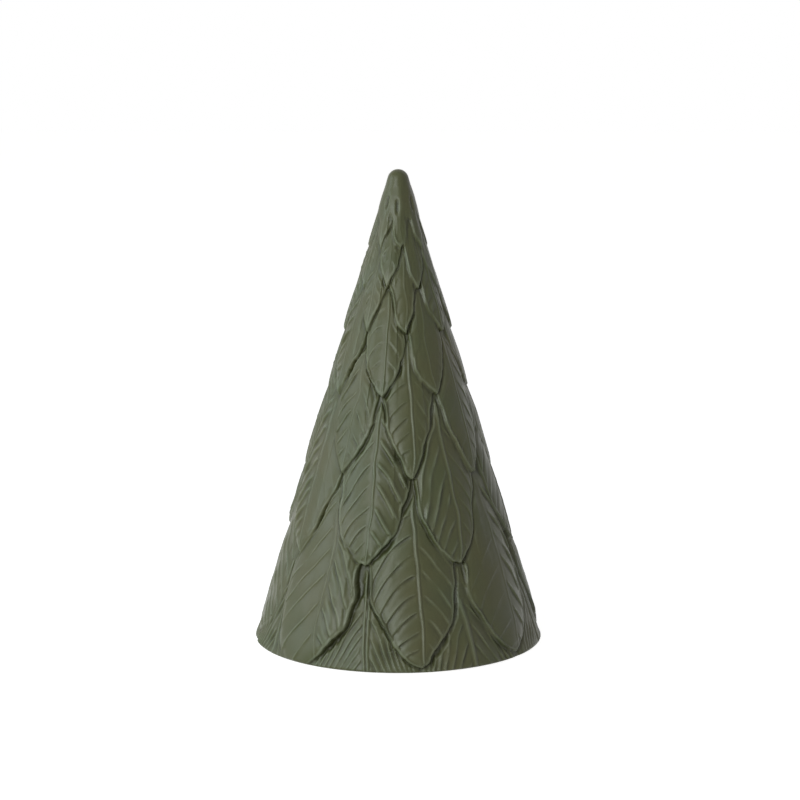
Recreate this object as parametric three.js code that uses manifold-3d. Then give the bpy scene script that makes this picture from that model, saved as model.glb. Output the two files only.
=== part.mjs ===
// A ceramic cone tree: one hollow casting covered in overlapping leaves, standing on four felt pads.
// Millimetres, +Z up. The origin lies on the table, under the middle of the tree, and -Y is the front.
import * as THREE from "three";
import { mergeVertices } from "three/addons/utils/BufferGeometryUtils.js";
import Module from "manifold-3d";

const wasm = await Module();
wasm.setup();

// The casting's cone, measured under the leaves
const castingHeight = 240;
const footRadius = 73;
const capRadius = 5.4;
const footEdgeRadius = 2.5;

// The hollow inside, open at the foot
const wallThickness = 4.5;
const hollowTopRadius = 5;
const footRimWidth = 13;
const footRimHeight = 5;

// The felt pads under the foot rim
const padCount = 4;
const padDiameter = 7;
const padThickness = 1;
const padEdge = 0.2;
const padInset = 0.8;
const glueFilm = 0.2;

// The rows of leaves. Each row's tips lie this far below the cone's point, as shares of the cone's length.
// The first two rows' tips would lie below the foot, which cuts them off. The root shares are no rows: they
// only say where the uppermost leaves end.
const leavesPerRow = 8;
const rowTipShares = [1.55, 1.24, 0.992, 0.801, 0.646, 0.492, 0.372, 0.286, 0.209, 0.156];
const rootShares = [0.118, 0.088];
const frontTurn = 9;
const veinSlope = 0.6;
const veinPitch = 10;
const veinCrestShare = 0.5;
const ribFootShare = 0.08;
const slimLeafShare = 0.25;

// The relief on the lowest leaves, which thins towards the top of the tree
const tipLift = 3;
const crownHeight = 0.3;
const midribHeight = 1.2;
const veinHeight = 0.8;
const rimHeight = 0.4;
const grooveDepth = 0.6;
const reliefFade = 0.5;

// Facet counts
const footFacets = 64;
const footArcSteps = 3;
const hollowFacets = 40;
const hollowArcSteps = 4;
const capArcSteps = 4;
const padFacets = 24;

const footZ = padThickness + glueFilm;
const padCircleRadius = footRadius - footRimWidth + padInset + padDiameter / 2;
const topZ = footZ + castingHeight;
const capCentreZ = topZ - capRadius;
const leafPitch = (2 * Math.PI) / leavesPerRow;

// The cone's side rises from the foot and touches the ball of the cap.
const capDistance = Math.hypot(footRadius, capCentreZ - footZ);
const halfAngle = Math.atan2(footRadius, capCentreZ - footZ) - Math.asin(capRadius / capDistance);
const coneLength = footRadius / Math.tan(halfAngle);
const apexZ = footZ + coneLength;

/** Radius of the plain cone at a height. */
function coneRadius(z) {
  return (apexZ - z) * Math.tan(halfAngle);
}

/** A point at an angle round the axis, counted from the front towards +X. */
function around(angle, radius, z) {
  return new THREE.Vector3(radius * Math.sin(angle), -radius * Math.cos(angle), z);
}

/** Profile points along an arc, from one angle to another over the horizontal. */
function arc(x, y, radius, from, to, steps) {
  const points = [];
  for (let i = 0; i <= steps; i += 1) {
    const angle = THREE.MathUtils.lerp(from, to, i / steps);
    points.push(new THREE.Vector2(x + radius * Math.cos(angle), y + radius * Math.sin(angle)));
  }
  return points;
}

/** A profile of (radius, height) points, from the lower axis to the upper one, turned about Z. */
function revolve(profile, facets) {
  return new THREE.LatheGeometry(profile, facets).rotateX(Math.PI / 2);
}

/** One closed mesh: its shared corners joined, and the triangles that have no area left out. */
function weld(geometry) {
  const bare = new THREE.BufferGeometry();
  bare.setAttribute("position", geometry.getAttribute("position"));
  bare.setIndex(geometry.getIndex());
  const merged = mergeVertices(bare);
  const corners = merged.getIndex().array;
  const kept = [];
  for (let i = 0; i < corners.length; i += 3) {
    const [a, b, c] = corners.slice(i, i + 3);
    if (a !== b && b !== c && c !== a) {
      kept.push(a, b, c);
    }
  }
  merged.setIndex(kept);
  return merged;
}

function toSolid(geometry) {
  const closed = weld(geometry);
  return new wasm.Manifold(
    new wasm.Mesh({
      numProp: 3,
      vertProperties: new Float32Array(closed.getAttribute("position").array),
      triVerts: new Uint32Array(closed.getIndex().array),
    }),
  );
}

function toGeometry(solid) {
  const mesh = solid.getMesh();
  const geometry = new THREE.BufferGeometry();
  geometry.setAttribute("position", new THREE.BufferAttribute(new Float32Array(mesh.vertProperties), 3));
  geometry.setIndex(Array.from(mesh.triVerts));
  geometry.computeVertexNormals();
  return geometry;
}

/** Height of a row's leaf tips. */
function tipHeight(row) {
  return apexZ - coneLength * [...rowTipShares, ...rootShares][row];
}

/** The middle of a row's first leaf: each row is turned by half a leaf against the one below. */
function rowAngle(row) {
  return THREE.MathUtils.degToRad(frontTurn) + (row * leafPitch) / 2;
}

/** How far a leaf stands over the plain cone: most at its tip, and nothing at its root two rows up. */
function leafLift(row, z) {
  const tip = tipHeight(row);
  const root = tipHeight(row + 2);
  return (tipLift * (root - z)) / (root - tip);
}

/**
 * Points across one leaf along a pair of its side veins: from the left margin up to the midrib, and down
 * again to the right margin. The leaf shows halfWidth, an angle, to each side of its middle, and its margins
 * lie at marginZ there.
 */
function leafLine(row, middle, halfWidth, marginZ, marginRise, veinRise) {
  const relief = Math.min(1, rowTipShares[row]) ** reliefFade;
  const fullness = Math.min(1, halfWidth / (slimLeafShare * leafPitch));
  const lanes = [
    { across: 1, rise: marginRise },
    { across: veinCrestShare, rise: fullness * (crownHeight + veinRise) },
    { across: ribFootShare, rise: (fullness * veinRise) / 2 },
    { across: 0, rise: fullness * midribHeight },
  ];
  const place = (side, { across, rise }) => {
    const z = marginZ + veinSlope * coneRadius(marginZ) * halfWidth * (1 - across);
    const radius = coneRadius(z) + relief * (leafLift(row, z) + rise);
    return around(middle + side * across * halfWidth, radius, z);
  };
  const left = lanes.map((lane) => place(-1, lane));
  const right = lanes.slice(0, -1).reverse().map((lane) => place(1, lane));
  return [...left, ...right];
}

/** A ring of whole leaves, at the height where a row is widest and the row two below has just closed. */
function wholeLeafRing(row) {
  const ring = [];
  for (let leaf = 0; leaf < leavesPerRow; leaf += 1) {
    ring.push(...leafLine(row, rowAngle(row) + leaf * leafPitch, leafPitch / 2, tipHeight(row + 1), 0, 0));
  }
  return ring;
}

/**
 * A ring between a row's tips (share 0) and the next row's (share 1). The row's leaves widen from nothing to
 * a whole pitch, and the leaves of the row below, which they overlap, close between them. A raised margin
 * stands over a groove in the leaf below it, whose veins start from nothing beside the upper leaf's tip.
 */
function overlapRing(row, share, veinRise) {
  const marginZ = THREE.MathUtils.lerp(tipHeight(row), tipHeight(row + 1), share);
  const width = (leafPitch / 2) * Math.sin((share * Math.PI) / 2);
  const fade = Math.sin(share * Math.PI);
  const ring = [];
  for (let leaf = 0; leaf < leavesPerRow; leaf += 1) {
    const middle = rowAngle(row) + leaf * leafPitch;
    const between = middle + leafPitch / 2;
    const gap = leafPitch / 2 - width;
    ring.push(...leafLine(row, middle, width, marginZ, fade * rimHeight, veinRise));
    ring.push(...leafLine(row - 1, between, gap, marginZ, -fade * grooveDepth, share * veinRise));
  }
  return ring;
}

/** The triangles of a band between two rings of equally many points, split along the way they slope. */
function band(lower, upper) {
  return lower.flatMap((a, i) => {
    const j = (i + 1) % lower.length;
    const [b, c, d] = [lower[j], upper[j], upper[i]];
    return a.z < b.z ? [a, b, c, a, c, d] : [a, b, d, b, c, d];
  });
}

/** A ring under each point of another one, at its own radius and height. */
function ringBelow(ring, radius, z) {
  return ring.map((point) => around(Math.atan2(point.x, -point.y), radius, z));
}

/**
 * The cone's skin of overlapping leaves, lofted ring by ring and row by row, with the smooth cap above it.
 * Below, it runs on past the foot, to be trimmed there. Every second ring lies on the crests of side veins.
 */
function leafSkin() {
  const triangles = [];
  const lastRow = rowTipShares.length - 1;
  for (let row = 1; row <= lastRow; row += 1) {
    const steps = 2 * Math.max(1, Math.round((tipHeight(row + 1) - tipHeight(row)) / veinPitch));
    let lower = overlapRing(row, 0, 0);
    for (let step = 1; step <= steps; step += 1) {
      const upper = overlapRing(row, step / steps, step % 2 === 0 ? 0 : veinHeight);
      triangles.push(...band(lower, upper));
      lower = upper;
    }
  }
  const bottom = wholeLeafRing(0);
  triangles.push(...band(ringBelow(bottom, 0, tipHeight(1)), bottom));
  let lower = wholeLeafRing(lastRow);
  const capProfile = [
    new THREE.Vector2(coneRadius(tipHeight(lastRow + 2)), tipHeight(lastRow + 2)),
    ...arc(0, capCentreZ, capRadius, halfAngle, Math.PI / 2, capArcSteps),
  ];
  for (const { x, y } of capProfile) {
    const upper = ringBelow(lower, y < topZ ? x : 0, y);
    triangles.push(...band(lower, upper));
    lower = upper;
  }
  return new THREE.BufferGeometry().setFromPoints(triangles);
}

/** What the foot leaves of the skin: all that lies above it and inside its rounded edge. */
function footTrim() {
  const edge = footRadius + tipLift / 2;
  const clear = edge + tipLift + midribHeight;
  const clearTop = topZ + castingHeight / 2;
  return revolve(
    [
      new THREE.Vector2(0, footZ),
      ...arc(edge - footEdgeRadius, footZ + footEdgeRadius, footEdgeRadius, -Math.PI / 2, 0, footArcSteps),
      new THREE.Vector2(clear, footZ + 2 * footEdgeRadius),
      new THREE.Vector2(clear, clearTop),
      new THREE.Vector2(0, clearTop),
    ],
    footFacets,
  );
}

/** The space inside: a smaller cone with a round top, drawn in over the foot rim. */
function hollow() {
  const insideApexZ = apexZ - wallThickness / Math.sin(halfAngle);
  const insideRadius = (z) => (insideApexZ - z) * Math.tan(halfAngle);
  const mouthRadius = footRadius - footRimWidth;
  const shoulderZ = footZ + 2 * footRimHeight;
  const ballZ = insideApexZ - hollowTopRadius / Math.sin(halfAngle);
  const profile = [
    new THREE.Vector2(0, footZ - footRimHeight),
    new THREE.Vector2(mouthRadius, footZ - footRimHeight),
    new THREE.Vector2(mouthRadius, footZ + footRimHeight),
    new THREE.Vector2(Math.max(mouthRadius, insideRadius(shoulderZ)), shoulderZ),
    ...arc(0, ballZ, hollowTopRadius, halfAngle, Math.PI / 2, hollowArcSteps),
  ];
  profile[profile.length - 1].x = 0;
  return revolve(profile, hollowFacets);
}

/** The whole casting: the leafy cone, trimmed round the foot and hollowed out. */
function castingGeometry() {
  const cone = toSolid(leafSkin()).intersect(toSolid(footTrim()));
  return toGeometry(cone.subtract(toSolid(hollow())));
}

/** A round felt pad with softened edges, standing on the table. */
function padGeometry() {
  const radius = padDiameter / 2;
  return weld(
    revolve(
      [
        new THREE.Vector2(0, 0),
        new THREE.Vector2(radius - padEdge, 0),
        new THREE.Vector2(radius, padEdge),
        new THREE.Vector2(radius, padThickness - padEdge),
        new THREE.Vector2(radius - padEdge, padThickness),
        new THREE.Vector2(0, padThickness),
      ],
      padFacets,
    ),
  );
}

const glaze = new THREE.MeshStandardMaterial({ color: 0x5b5f4a, roughness: 0.5, metalness: 0 });
const felt = new THREE.MeshStandardMaterial({ color: 0x3a3a36, roughness: 0.95, metalness: 0 });

const tree = new THREE.Group();

const casting = new THREE.Mesh(castingGeometry(), glaze);
casting.name = "leaf_cone_casting";
tree.add(casting);

for (let i = 0; i < padCount; i += 1) {
  const pad = new THREE.Mesh(padGeometry(), felt);
  pad.name = `felt_pad_${i + 1}`;
  pad.position.copy(around(((i + 0.5) * 2 * Math.PI) / padCount, padCircleRadius, 0));
  tree.add(pad);
}

export default tree;
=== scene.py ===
"""The looks of a ceramic cone tree whose skin is carved with overlapping leaves.

The tree is one hollow casting with a matt olive glaze, standing on four small felt pads. Lengths in this
file are millimetres and angles are degrees, counted from the front (-Y) towards +X, unless a name says
otherwise. Heights are counted from the casting's foot. Meshes are written in metres, where the CAD says.
"""

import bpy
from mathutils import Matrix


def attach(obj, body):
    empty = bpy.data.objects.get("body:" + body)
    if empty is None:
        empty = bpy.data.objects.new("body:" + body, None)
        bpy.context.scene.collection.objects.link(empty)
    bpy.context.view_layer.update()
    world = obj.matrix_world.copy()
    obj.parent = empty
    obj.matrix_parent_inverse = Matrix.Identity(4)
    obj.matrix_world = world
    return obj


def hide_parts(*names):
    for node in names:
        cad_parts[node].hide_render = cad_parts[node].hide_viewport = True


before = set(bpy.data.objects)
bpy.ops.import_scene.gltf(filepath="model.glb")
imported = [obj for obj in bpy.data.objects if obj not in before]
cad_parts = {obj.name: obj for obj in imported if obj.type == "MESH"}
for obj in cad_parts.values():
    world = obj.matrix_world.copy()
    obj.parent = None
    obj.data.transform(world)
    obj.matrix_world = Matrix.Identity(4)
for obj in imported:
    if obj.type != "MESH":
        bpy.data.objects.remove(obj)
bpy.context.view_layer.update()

import logging
from collections.abc import Sequence
from dataclasses import dataclass, field
from enum import Enum
from functools import cached_property

import bpy
import numpy as np
from mathutils import Vector

LOG = logging.getLogger("cone_tree")
METRES_PER_MM = 0.001

Array = np.ndarray
Point = tuple[float, float]
Line = tuple[Point, ...]
Colour = tuple[float, ...]
Socket = bpy.types.NodeSocket
WHITE = (1.0, 1.0, 1.0, 1.0)


def smooth_step(share: Array) -> Array:
    """Nothing below 0, one above 1, and 3s^2 - 2s^3 between them."""
    s = np.clip(share, 0.0, 1.0)
    return s * s * (3.0 - 2.0 * s)


def hump(offset: Array, width: float | Array) -> Array:
    """A bell exp(-(offset/width)^2), one high in the middle."""
    return np.exp(-np.square(offset / width))


@dataclass(frozen=True)
class ConeForm:
    """The plain cone under the leaves, with the same sizes as the CAD casting's.

    Only foot_z, the height of the casting's foot, is counted from the table.
    """

    foot_z: float = 1.2
    height: float = 240.0
    foot_radius: float = 73.0
    cap_radius: float = 5.4
    foot_edge_radius: float = 2.5
    foot_edge_reach: float = 74.4
    wall: float = 4.5
    hollow_top_radius: float = 5.0
    foot_rim_width: float = 13.0
    foot_rim_height: float = 5.0

    @cached_property
    def cap_centre(self) -> float:
        """Height of the middle of the ball that rounds the top."""
        return self.height - self.cap_radius

    @cached_property
    def half_angle(self) -> float:
        """Angle in radians between the axis and the side, which touches the ball of the cap."""
        distance = np.hypot(self.foot_radius, self.cap_centre)
        to_centre = np.arctan2(self.foot_radius, self.cap_centre)
        return float(to_centre - np.arcsin(self.cap_radius / distance))

    @cached_property
    def length(self) -> float:
        """Height of the cone's point over the foot."""
        return self.foot_radius / float(np.tan(self.half_angle))

    @cached_property
    def cap_start(self) -> float:
        """Height at which the side passes into the ball of the cap."""
        return self.cap_centre + self.cap_radius * float(np.sin(self.half_angle))

    @cached_property
    def inner_length(self) -> float:
        """Height of the hollow's point, where its side would run on."""
        return self.length - self.wall / float(np.sin(self.half_angle))

    @cached_property
    def hollow_ball_z(self) -> float:
        """Height of the middle of the ball that rounds the top of the hollow."""
        return self.inner_length - self.hollow_top_radius / float(np.sin(self.half_angle))

    def radius(self, z: Array) -> Array:
        """Radius of the plain cone: (length - z) times the tangent of the half angle."""
        return (self.length - z) * np.tan(self.half_angle)

    def per_degree(self, z: Array) -> Array:
        """Length of one degree round the plain cone."""
        return self.radius(z) * np.pi / 180.0

    def along(self, z: Array) -> Array:
        """Distance up the sloping side that a height stands for: z over the cosine of the half angle."""
        return z / np.cos(self.half_angle)


CONE = ConeForm()


@dataclass(frozen=True)
class VeinFan:
    """The side veins on one half of a leaf. The leaf table gives its numbers in this order.

    Attributes:
        starts: heights at which the veins leave the midrib, the lowest first.
        slope: how far a vein falls for each millimetre that it runs outwards, beside the midrib.
        bow: how much steeper it gets, in millimetres of fall over the square of the run.
        depth: how deep the hollow under a vein is.
        reach: how far below the vein that hollow is deepest.
        lip: how far the vein's own line stands up.
        hook: how far a vein bends down where it meets the margin.
        swell: how far a panel bulges between its veins.
        tip_bow: how much the bow grows towards the leaf's tip.
        lip_width: how wide the vein's own line is.
    """

    starts: Sequence[float]
    slope: float = 0.35
    bow: float = 0.035
    depth: float = 0.45
    reach: float = 0.75
    lip: float = 0.25
    hook: float = 2.0
    swell: float = 0.0
    tip_bow: float = 0.0
    lip_width: float = 0.36


@dataclass(frozen=True)
class LeafCut:
    """One leaf as it is carved: its outline, midrib and veins, as points (angle, height).

    Attributes:
        row: the leaf's row, counted from the lowest.
        left, right: the margins from the tip up to where the next leaves cover them.
        rib: the midrib from the tip up.
        root: the height at which the leaf ends, under the leaves two rows up.
        left_fan, right_fan: the side veins on both halves.
        size: how strong all its relief is, against the lowest leaves'.
        rib_height: how far the midrib stands up.
        rib_width: half the width of the midrib at its root end.
        left_groove, right_groove: depth of the grooves along the margins.
        rib_groove: depth of a groove down the middle of the midrib.
        scallop: how far the margin swells between two veins.
        border: how far the strip along the margin lies under the panels between the veins.
        left_rim, right_rim: height of the fine raised lines along the margins.
        rib_end: height at which the midrib ends in a rounded top, where it does.
        left_soft, right_soft: how wide the steps at the margins are.
        groove_width: how wide the grooves are, against the usual.
        lips: height of the raised line outside a groove.
        seam_low: height under which the right groove and its lines fade out.
        dip: how far the surface beside the leaf sinks, away from its tip, against the usual.
        tip_dip: how far the surface beside its tip sinks, against the usual.
        tilt: how far the right half rises from the midrib outwards.
    """

    row: int
    left: Line
    right: Line
    rib: Line
    root: float
    left_fan: VeinFan
    right_fan: VeinFan
    size: float = 1.0
    rib_height: float = 0.5
    rib_width: float = 1.0
    left_groove: float = 0.15
    right_groove: float = 0.9
    rib_groove: float = 0.0
    scallop: float = 0.25
    border: float = 0.22
    left_rim: float = 0.35
    right_rim: float = 0.2
    rib_end: float = 1000.0
    left_soft: float = 1.8
    right_soft: float = 0.7
    groove_width: float = 1.0
    lips: float = 0.22
    seam_low: float = -1000.0
    dip: float = 1.0
    tip_dip: float = 1.0
    tilt: float = 0.0

    @property
    def tip(self) -> Point:
        """The leaf's tip, where its right margin begins."""
        return self.right[0]

    def from_tip(self, z: Array) -> Array:
        """A height's share of the way from the tip up to the root, held between 0 and 1."""
        return np.clip((z - self.tip[1]) / (self.root - self.tip[1]), 0.0, 1.0)


class SmoothLine:
    """An angle as a smooth function of the height, through given points."""

    samples = 160

    def __init__(self, points: Line) -> None:
        """Joins the points by cubic pieces whose end slopes are the mean slopes beside each point.

        Args:
            points: (angle, height) points, the heights rising.
        """
        angles = np.array([p[0] for p in points])
        heights = np.array([p[1] for p in points])
        slopes = np.gradient(angles, heights)
        self.z = np.linspace(heights[0], heights[-1], self.samples)
        piece = np.clip(np.searchsorted(heights, self.z) - 1, 0, len(points) - 2)
        span = heights[piece + 1] - heights[piece]
        t = (self.z - heights[piece]) / span
        self.angle = (
            (2 * t**3 - 3 * t**2 + 1) * angles[piece]
            + (t**3 - 2 * t**2 + t) * span * slopes[piece]
            + (3 * t**2 - 2 * t**3) * angles[piece + 1]
            + (t**3 - t**2) * span * slopes[piece + 1]
        )
        self.slope = np.gradient(self.angle, self.z)

    def at(self, z: Array) -> tuple[Array, Array]:
        """Angle and slope at each height; beyond the ends the line runs straight on.

        Args:
            z: heights.

        Returns:
            The angles, and the angle's change for each millimetre of height.
        """
        angle = np.interp(z, self.z, self.angle)
        slope = np.interp(z, self.z, self.slope)
        beyond = np.minimum(z - self.z[0], 0.0) + np.maximum(z - self.z[-1], 0.0)
        return angle + beyond * slope, slope


@dataclass(frozen=True)
class LeafRows:
    """How the leaves stand round the cone, each row turned by half a leaf against the one below.

    Attributes:
        leaves: how many leaves a row has.
        front_turn: the middle of the first leaf of the lowest row.
        tip_shares: how far each row's tips are from the cone's point, against its whole length.
        root_shares: the same for the two heights over them at which the last leaves end.
        size_power: how slowly the relief gets fainter towards the point.
    """

    leaves: int = 8
    front_turn: float = 9.0
    tip_shares: tuple[float, ...] = (1.55, 1.24, 0.992, 0.801, 0.646, 0.492, 0.372, 0.286, 0.209, 0.156)
    root_shares: tuple[float, ...] = (0.118, 0.088)
    size_power: float = 0.55

    @property
    def pitch(self) -> float:
        """Angle from one leaf of a row to the next."""
        return 360.0 / self.leaves

    def tip_height(self, row: int) -> float:
        """Height of a row's tips: the cone's length times one minus the row's share."""
        return CONE.length * (1.0 - (self.tip_shares + self.root_shares)[row])

    def middle(self, row: int, leaf: int) -> float:
        """Angle of a leaf's middle, between -180 and 180."""
        turn = self.front_turn + row * self.pitch / 2 + leaf * self.pitch
        return (turn + 180.0) % 360.0 - 180.0

    def size(self, row: int) -> float:
        """How strong the relief of a row is: its share of the cone to a power."""
        return min(1.0, self.tip_shares[row]) ** self.size_power


ROWS = LeafRows()
# Where leaves are carved for the light of the windows, and where for the shade
LIT_SIDE = (-110.0, -50.0)
SHADED_SIDE = (30.0, 110.0)


@dataclass(frozen=True)
class LeafShift:
    """How a leaf that makes the outline differs from its even place.

    Attributes:
        turn: how far it is turned.
        rise: how far its tip is raised.
        strength: how strong its relief is, against its row's.
        notch: how far the surface beside its tip sinks, against the usual.
    """

    turn: float = 0.0
    rise: float = 0.0
    strength: float = 1.0
    notch: float = 1.0


# Row and middle of each leaf of the outline, and its turn, rise, strength and notch
OUTLINE_LEAVES = {
    (3, -103.5): (7.0, 7.5, 0.75, 1.8),
    (4, -81.0): (-5.0, 0.0, 0.9, 1.0),
    (5, -103.5): (10.0, 1.0, 0.65, 2.4),
    (6, -81.0): (-6.0, 0.0, 1.1, 1.0),
    (7, -103.5): (-2.0, 0.0, 1.2, 1.0),
    (3, 76.5): (6.0, 1.0, 0.85, 1.6),
    (4, 99.0): (-8.0, 0.0, 0.7, 1.6),
    (5, 76.5): (9.5, 1.5, 0.6, 2.4),
    (6, 99.0): (-7.0, 0.0, 0.8, 1.8),
    (7, 76.5): (-6.0, 0.0, 0.7, 1.0),
    (8, 99.0): (-7.0, 0.0, 0.5, 1.2),
}


def wild_leaf(row: int, leaf: int, chance: np.random.Generator) -> LeafCut:
    """A leaf that isn't one of the front's: the common outline with a little chance in each number.

    Its half width is reach * sin(90 degrees * t)^fullness, t being 0 at the tip and 1 where the next row
    begins, with a small wave on it.

    Args:
        row: the row, counted from the lowest.
        leaf: the leaf's number in its row.
        chance: the seeded generator that draws the differences.

    Returns:
        The leaf.
    """
    tip_z, cover_z, root_z = (ROWS.tip_height(row + step) for step in range(3))
    middle = ROWS.middle(row, leaf)
    lit = row > 1 and LIT_SIDE[0] < middle < LIT_SIDE[1]
    shaded = SHADED_SIDE[0] < middle < SHADED_SIDE[1]
    shift = LeafShift(*OUTLINE_LEAVES.get((row, middle), ()))
    middle += chance.uniform(-1.0, 1.0) + shift.turn
    tip_z += chance.uniform(-0.02, 0.02) * (cover_z - tip_z) + shift.rise
    size = ROWS.size(row) * shift.strength * (0.35 if row == len(ROWS.tip_shares) - 1 else 1.0)
    shares = np.array([0.0, 0.06, 0.18, 0.34, 0.52, 0.7, 0.86, 1.0])
    heights = tip_z + shares * (cover_z - tip_z)

    def margin(side: float) -> Line:
        reach = chance.uniform(20.0, 22.3)
        fullness = chance.uniform(0.68, 0.98)
        wave = chance.uniform(0.3, 0.8) * np.sin(shares * chance.uniform(9, 14) + chance.uniform(0, 6))
        width = reach * np.sin(shares * np.pi / 2) ** fullness + wave * np.sin(shares * np.pi)
        return tuple((middle + side * w, z) for w, z in zip(width.tolist(), heights.tolist()))

    def fan(slope: float) -> VeinFan:
        pitch = (9.8 if row > 1 else 6.5) * size**0.5 * chance.uniform(0.92, 1.08) * (0.6 if lit else 1.0)
        first = (tip_z if row > 1 else -20.0) + pitch * chance.uniform(0.5, 1.0)
        count = max(2, int((root_z - first) / pitch) + 1)
        starts = first + pitch * (np.arange(count) + chance.uniform(-0.12, 0.12, count))
        bow = chance.uniform(0.03, 0.05) / size
        depth = chance.uniform(0.35, 0.6) * (0.4 if lit else 1.0)
        reach = chance.uniform(0.7, 1.0) * size**0.5
        lip = chance.uniform(0.2, 0.35) + (0.6 if lit else 0.2)
        swell = chance.uniform(0.0, 0.3) + (0.4 if shaded else 0.0)
        width = 0.4 if lit else 0.9 if shaded else 0.5
        return VeinFan(starts.tolist(), slope, bow, depth, reach, lip, swell=swell, lip_width=width)

    left, right = margin(-1.0), margin(1.0)
    sway = chance.uniform(-1.2, 1.2)
    rib = ((middle, tip_z), (middle + sway, (tip_z + cover_z) / 2), (middle, cover_z), (middle, root_z))
    steep = 1.4 if row == 1 else chance.uniform(0.35, 1.1)
    return LeafCut(
        row, left, right, rib, root_z,
        left_fan=fan(steep),
        right_fan=fan(steep + chance.uniform(-0.1, 0.3)),
        size=size,
        rib_height=chance.uniform(0.5, 0.7),
        rib_width=chance.uniform(1.1, 1.6),
        left_groove=chance.uniform(0.05, 0.3),
        right_groove=0.1 if lit else chance.uniform(0.7, 1.1) * (0.6 if row > 5 else 1.0),
        left_rim=0.1 if lit else chance.uniform(0.4, 0.8),
        right_soft=3.0 if lit else 0.8,
        dip=0.3 if lit else 0.8,
        tip_dip=shift.notch,
        rib_groove=0.8 if row == 1 and chance.uniform() < 0.5 else 0.0,
    )


# Heights at which the front leaves of each row end, the lowest row first
SEEN_ROOTS = (50.6, 91, 129, 159, 181, 201, 214.5, 224)
# A left margin that passes softly into the surface beside it
SOFT_LEFT = {"left_rim": 0.0, "left_groove": 0.0, "left_soft": 3.0}
# The faint veins of the uppermost leaves
UPPER_FAN = ((204, 210, 216), 0.9, 0.1, 0.1, 0.9, 0.05)


def seen_leaf(
    row: int, left_fan: tuple, right_fan: tuple, strength: float = 1.0, **details: object
) -> LeafCut:
    """A leaf of the front, whose form is known.

    Args:
        row: its row, counted from the lowest.
        left_fan: the numbers of its left half's VeinFan, in their order there.
        right_fan: the same for its right half.
        strength: how strong its relief is, against its row's.
        details: its lines and whatever differs from the usual leaf.

    Returns:
        The leaf, with the root and the size of its row.
    """
    size = strength * ROWS.size(row)
    fans = {"left_fan": VeinFan(*left_fan), "right_fan": VeinFan(*right_fan)}
    return LeafCut(row=row, root=SEEN_ROOTS[row - 1], size=size, **fans, **details)


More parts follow.
